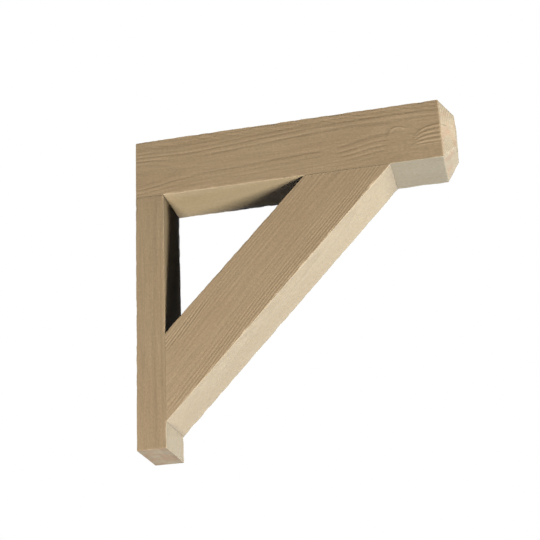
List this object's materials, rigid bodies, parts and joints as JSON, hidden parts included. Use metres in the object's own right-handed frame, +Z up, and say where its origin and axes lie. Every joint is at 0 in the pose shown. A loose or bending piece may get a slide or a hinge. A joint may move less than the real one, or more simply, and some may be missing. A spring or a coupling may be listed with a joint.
{
  "type": "decorative timber bracket",
  "caption": "Raised-grain timber knee bracket: a beam with a bevelled nose, a wall post under it and a diagonal brace.",
  "frame": {"origin": "centre of the wall face: on the wall plane, halfway up the bracket and halfway across its timbers", "axes": "+X points straight out from the wall, +Z points up, and Y runs across the timbers, along the wall"},
  "size_m": [0.762, 0.14, 0.762],
  "materials": {
    "beam_timber": "matte",
    "post_timber": "matte",
    "brace_timber": "matte"
  },
  "bodies": {
    "root": {"top_beam": "beam_timber", "wall_post": "post_timber", "diagonal_brace": "brace_timber"}
  },
  "joints": []
}
